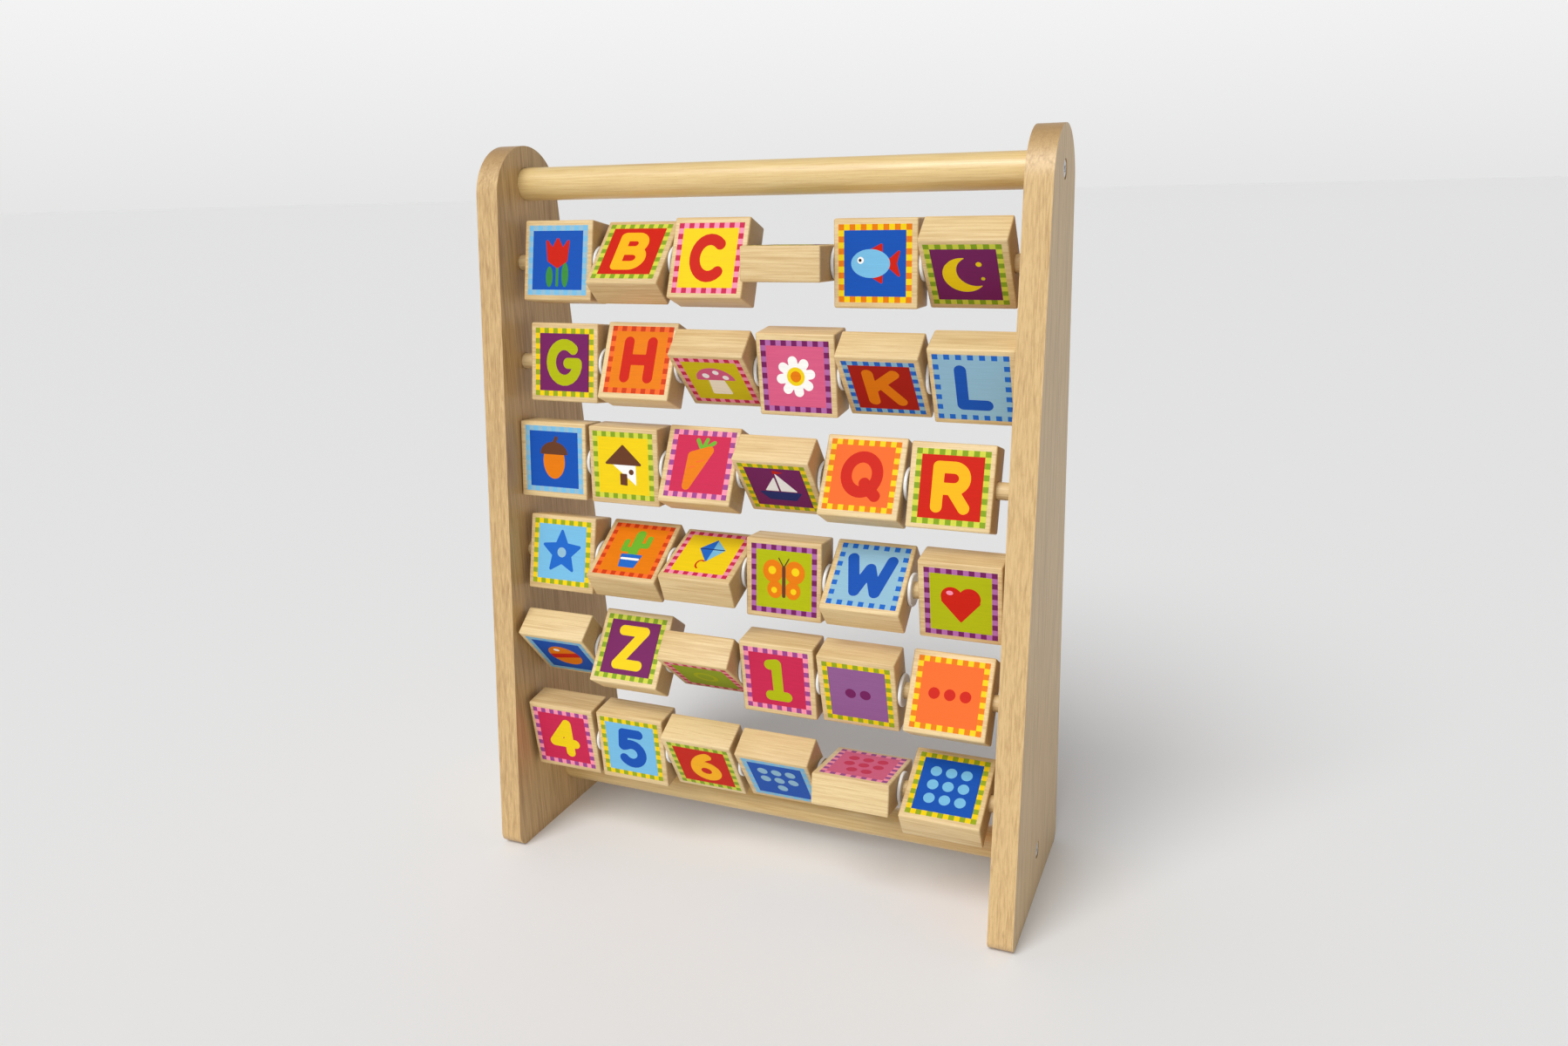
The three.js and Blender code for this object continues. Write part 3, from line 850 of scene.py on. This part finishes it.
def board_solid():
    """The right-hand board about its own middle plane, with its sockets and countersunk holes."""
    bm = bmesh.new()
    half = BOARD_THICKNESS / 2
    sides = [[bm.verts.new((x, y, z)) for y, z in board_outline()] for x in (-half, half)]
    faces = [bm.faces.new(side) for side in sides]
    for index in range(len(sides[0])):
        bm.faces.new([sides[0][index - 1], sides[0][index], sides[1][index], sides[1][index - 1]])
    rims = [edge for face in faces for edge in face.edges]
    bmesh.ops.bevel(bm, geom=rims, offset=BOARD_EDGE_RADIUS, segments=4, profile=0.5, affect="EDGES")
    cutter = bmesh.new()
    floor = -half + SOCKET_DEPTH
    for signs in ROW_TURNS:
        centre = CENTRES[signs[0]]
        hole = ROD_RADIUS + SEAT_GAP / 2
        profile = [(-BOARD_THICKNESS, 0), (-BOARD_THICKNESS, hole), (floor, hole), (floor, 0)]
        lathe(cutter, profile, ROD_SIDES, centre=(0, centre.y, centre.z))
    shank = SCREW_RADIUS + SEAT_GAP
    head = SCREW_HEAD_RADIUS + SEAT_GAP
    seat = half - SCREW_HEAD_SINK
    for height in BAR_HEIGHTS.values():
        hole = BAR_RADIUS + SEAT_GAP / 2
        profile = [(-BOARD_THICKNESS, 0), (-BOARD_THICKNESS, hole), (floor, hole), (floor, shank)]
        profile += [(seat - SCREW_HEAD_HEIGHT - SEAT_GAP, shank), (seat, head)]
        profile += [(BOARD_THICKNESS, head), (BOARD_THICKNESS, 0)]
        lathe(cutter, profile, WASHER_SIDES, centre=(0, 0, height))
    return carve(bm, cutter)


board = board_solid()
board_middle = (INNER_WIDTH + BOARD_THICKNESS) / 2
for side, sign in (("right", 1), ("left", -1)):
    bm = board.copy()
    bmesh.ops.translate(bm, vec=(board_middle, 0, 0), verts=bm.verts[:])
    bmesh.ops.scale(bm, vec=(sign, 1, 1), verts=bm.verts[:])
    mesh = piece_mesh(bm, "board_" + side, [board_wood], grain_axis=2, flat_area=BOARD_FLAT_AREA)
    add_piece("board_" + side, mesh, "frame", ["side_board_" + side])
board.free()

# Handle and stretcher
BAR_NODES = {"handle": "top_handle", "stretcher": "bottom_stretcher"}
for name, height in BAR_HEIGHTS.items():
    bm = bmesh.new()
    chamfer = BAR_END_CHAMFER
    profile = [(-rod_end, 0), (-rod_end, BAR_RADIUS - chamfer), (-rod_end + chamfer, BAR_RADIUS)]
    profile += [(-along, radius) for along, radius in reversed(profile)]
    lathe(bm, profile, BAR_SIDES, centre=(0, 0, height))
    mesh = piece_mesh(bm, "round_" + name, [bar_wood], flat_area=ALL_CURVED)
    add_piece("round_" + name, mesh, "frame", [BAR_NODES[name]])


# Screws
def cross_outline(length, width):
    """The twelve corners of a driver's cross."""
    far = length / 2
    near = width / 2
    arm = [(far, -near), (far, near), (near, near)]
    points = []
    for _ in range(CROSS_ARMS):
        points += arm
        arm = [(-z, y) for y, z in arm]
    return points


def screw_solid():
    bm = bmesh.new()
    lathe(bm, [
        (-SCREW_LENGTH, 0), (-SCREW_LENGTH + SCREW_TIP, SCREW_RADIUS), (-SCREW_HEAD_HEIGHT, SCREW_RADIUS),
        (-SCREW_RIM, SCREW_HEAD_RADIUS), (0, SCREW_HEAD_RADIUS - SCREW_RIM_ROUND), SCREW_CROWN_SHOULDER,
        (SCREW_CROWN, 0),
    ], ROD_SIDES)
    cutter = bmesh.new()
    levels = []
    for along, length, width in RECESS_LEVELS:
        levels.append([cutter.verts.new((along, y, z)) for y, z in cross_outline(length, width)])
    for level in levels:
        cutter.faces.new(level)
    mouth, bottom = levels
    for index in range(len(mouth)):
        cutter.faces.new([mouth[index - 1], mouth[index], bottom[index], bottom[index - 1]])
    return carve(bm, cutter)


# A driver leaves each cross at a chance angle, in degrees
SCREW_TURNS = {"right": 55, "left": -5}
screw = screw_solid()
for name, height in BAR_HEIGHTS.items():
    for side, sign in (("right", 1), ("left", -1)):
        bm = screw.copy()
        turned = Matrix.Rotation(math.radians(SCREW_TURNS[side]), 3, "X")
        bmesh.ops.rotate(bm, matrix=turned, verts=bm.verts[:])
        reach = INNER_WIDTH / 2 + BOARD_THICKNESS - SCREW_HEAD_SINK
        bmesh.ops.translate(bm, vec=(reach, 0, height), verts=bm.verts[:])
        bmesh.ops.scale(bm, vec=(sign, 1, 1), verts=bm.verts[:])
        label = "%s_screw_%s" % (name, side)
        mesh = piece_mesh(bm, "crosshead_" + label, [screw_steel], flat_area=SCREW_FLAT_AREA)
        add_piece("crosshead_" + label, mesh, "frame", [label])
screw.free()

# Floor, in metres
FLOOR_REACH = 80.0
FLOOR_TONES = ((0.83, 0.83, 0.83, 1), (0.87, 0.87, 0.87, 1))
material, tree, shader = new_material("pale_floor")
cloudy = add_node(tree, "TexNoise", {"Scale": 2.0, "Detail": 3.0}).outputs["Fac"]
tree.links.new(mix_colours(tree, cloudy, *FLOOR_TONES), shader.inputs["Base Color"])
shader.inputs["Roughness"].default_value = 0.7
bm = bmesh.new()
bmesh.ops.create_grid(bm, x_segments=8, y_segments=8, size=FLOOR_REACH)
mesh = bpy.data.meshes.new("floor")
bm.to_mesh(mesh)
bm.free()
mesh.materials.append(material)
floor = bpy.data.objects.new("floor", mesh)
bpy.context.scene.collection.objects.link(floor)

# Camera at the photograph's place, in millimetres, and with its lens
CAMERA_PLACE = Vector((226.1, -515.2, 341.0))
CAMERA_FORWARD = Vector((-0.37442, 0.88537, -0.27554))
CAMERA_RIGHT = Vector((0.92338, 0.38315, -0.0236))
PHOTO_WIDTH = 1799
FOCAL_PIXELS = 1334.9
SENSOR = 36.0
camera_data = bpy.data.cameras.new("camera")
camera_data.sensor_fit = "HORIZONTAL"
camera_data.sensor_width = SENSOR
camera_data.lens = FOCAL_PIXELS * SENSOR / PHOTO_WIDTH
camera_data.clip_start = 0.01
camera = bpy.data.objects.new("camera", camera_data)
bpy.context.scene.collection.objects.link(camera)
forward = CAMERA_FORWARD.normalized()
right = (CAMERA_RIGHT - forward * CAMERA_RIGHT.dot(forward)).normalized()
up = right.cross(forward)
turn = Matrix((right, up, -forward)).transposed()
camera.matrix_world = Matrix.Translation(CAMERA_PLACE * MM) @ turn.to_4x4()
bpy.context.scene.camera = camera

# Soft light, with the sky's strength at three heights from the horizon up
SKY_STRENGTHS = ((0.0, 0.79), (0.2, 0.95), (0.6, 0.36))
# The share of that strength that is left on the right, and where it starts and stops falling
RIGHT_SKY = 0.4
RIGHT_START = 0.2
RIGHT_END = 0.8
KEY_TOWARDS = Vector((-0.35, -1.4, 1.65))
KEY_STRENGTH = 2.15
KEY_ANGLE = math.radians(35)
world = bpy.data.worlds.new("studio")
world.use_nodes = True
tree = world.node_tree
sky = add_node(tree, "SeparateXYZ", {0: add_node(tree, "TexCoord").outputs["Generated"]})
brightness = add_node(tree, "ValToRGB", {"Fac": sky.outputs["Z"]})
stops = brightness.color_ramp.elements
stops.new(SKY_STRENGTHS[1][0])
for stop, (height, level) in zip(stops, SKY_STRENGTHS):
    stop.position = height
    stop.color = (level, level, level, 1.0)
falling = {"From Min": RIGHT_START, "From Max": RIGHT_END, "To Min": 1.0, "To Max": RIGHT_SKY}
side = add_node(tree, "MapRange", {"Value": sky.outputs["X"], **falling})
strength = math_node(tree, "MULTIPLY", brightness.outputs[0], side.outputs[0])
tree.links.new(strength, tree.nodes["Background"].inputs["Strength"])
tree.nodes["Background"].inputs["Color"].default_value = (1.0, 1.0, 1.0, 1.0)
bpy.context.scene.world = world
bpy.context.scene.view_settings.view_transform = "Standard"

# A broad lamp far away, so that the floor is lit evenly
key_data = bpy.data.lights.new("key", "SUN")
key_data.energy = KEY_STRENGTH
key_data.angle = KEY_ANGLE
key = bpy.data.objects.new("key", key_data)
bpy.context.scene.collection.objects.link(key)
key.rotation_euler = KEY_TOWARDS.to_track_quat("Z", "Y").to_euler()
